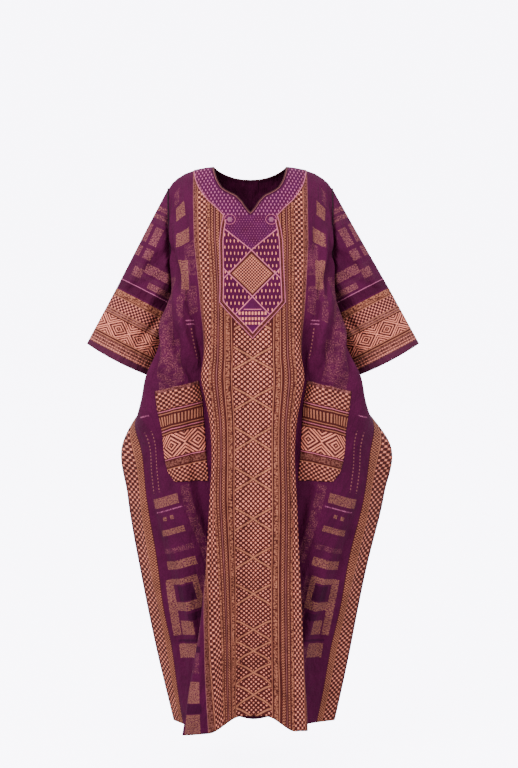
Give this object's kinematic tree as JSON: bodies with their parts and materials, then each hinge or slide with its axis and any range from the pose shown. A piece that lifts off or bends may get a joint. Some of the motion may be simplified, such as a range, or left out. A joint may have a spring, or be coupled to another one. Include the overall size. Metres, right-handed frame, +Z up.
{
  "type": "grand boubou robe",
  "caption": "Wide, long printed cotton robe with a V notched neck yoke, flared open sleeves and patch pockets, hanging hollow as worn.",
  "frame": {"origin": "centre of the neck opening, level with the two high shoulder points, where the wearer's shoulders carry the robe", "axes": "+Z up along the body, +X to the wearer's left, the front faces -Y"},
  "size_m": [0.8681, 0.3585, 1.4411],
  "materials": {
    "printed_cotton": "matt woven cotton, wax print in plum, maroon and salmon gold",
    "yoke_cotton": "matt woven cotton, brighter plum with pale dashes and pink piping",
    "pocket_cotton": "matt woven cotton, maroon with close salmon gold bands"
  },
  "bodies": {
    "root": {"front_panel": "printed_cotton", "back_panel": "printed_cotton", "sleeve_right": "printed_cotton", "sleeve_left": "printed_cotton", "front_yoke": "yoke_cotton", "back_yoke": "yoke_cotton", "pocket_right": "pocket_cotton", "pocket_left": "pocket_cotton"}
  },
  "joints": []
}
